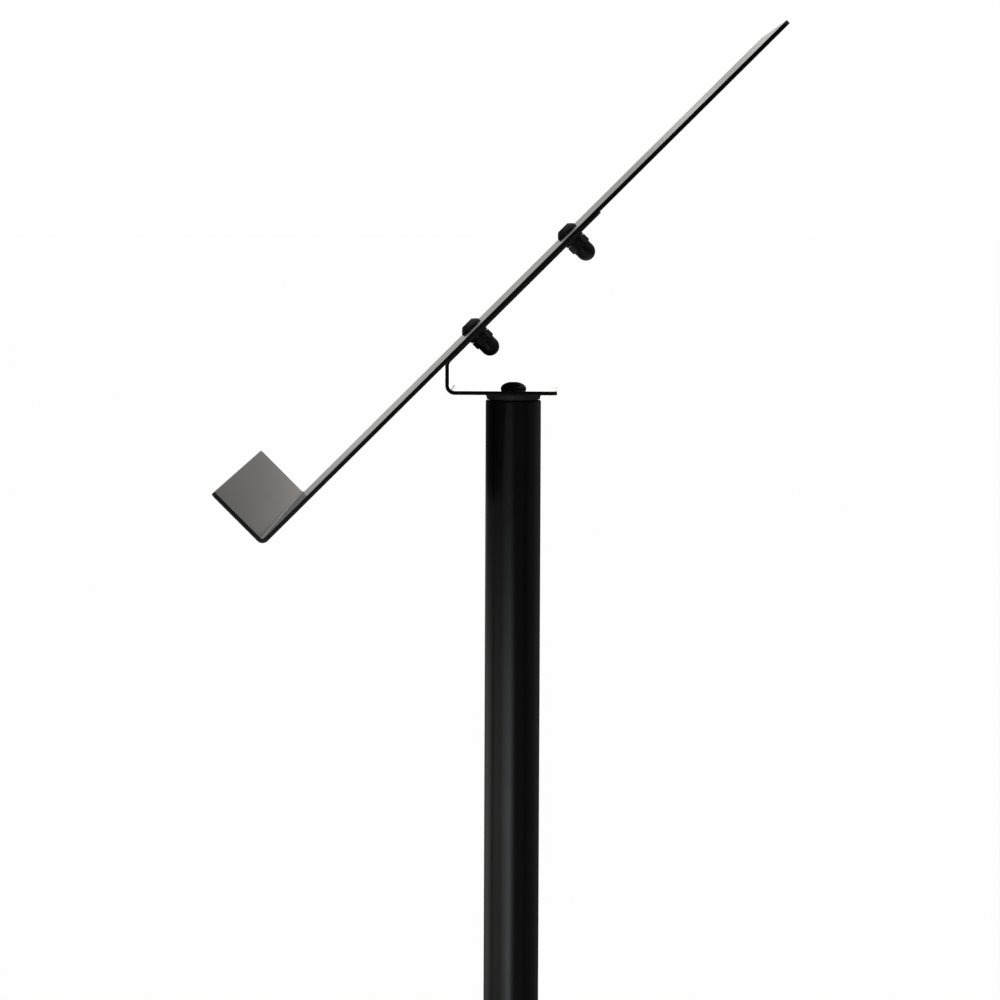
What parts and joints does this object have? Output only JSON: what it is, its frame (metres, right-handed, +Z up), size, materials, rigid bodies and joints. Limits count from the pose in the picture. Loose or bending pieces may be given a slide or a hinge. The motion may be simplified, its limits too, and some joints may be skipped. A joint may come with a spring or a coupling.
{
  "type": "floor display stand",
  "caption": "Floor-standing display stand: a bent sheet-steel tray with a ledge, tilted at 45 degrees, turns on a round post over a weighted round base.",
  "frame": {"origin": "on the floor, on the post's axis, at the centre of the base", "axes": "+Z up along the post; the reader stands at -Y, where the tray's ledge is; X runs along the tray's width"},
  "size_m": [0.356, 0.356, 1.2239],
  "materials": {
    "powder_coat": "fine-grained satin powder coat",
    "black_hardware": "satin black plating",
    "black_nylon": "moulded satin",
    "zinc_steel": "bright zinc plate",
    "cast_iron": "rough, unpainted",
    "rubber": "matt"
  },
  "bodies": {
    "stand": {"swivel_bolt": "black_hardware", "post_end_cap": "black_nylon", "swivel_lock_nut": "zinc_steel", "post_tube": "powder_coat", "post_foot_plug": "zinc_steel", "base_cover": "powder_coat", "base_weight": "cast_iron", "base_flat_washer": "zinc_steel", "base_lock_washer": "zinc_steel", "base_bolt": "zinc_steel", "foot_rear_right": "rubber", "foot_rear_left": "rubber", "foot_front_left": "rubber", "foot_front_right": "rubber"},
    "head": {"reading_tray": "powder_coat", "support_bracket": "powder_coat", "tray_screw_lower": "black_hardware", "tray_screw_upper": "black_hardware", "lock_washer_lower": "black_hardware", "lock_washer_upper": "black_hardware", "cap_nut_lower": "black_hardware", "cap_nut_upper": "black_hardware"}
  },
  "joints": [
    {"name": "tray_swivel", "type": "hinge", "parent": "stand", "child": "head", "pos_m": [0, 0, 1.0166], "axis": [0, 0, 1], "continuous": true}
  ]
}
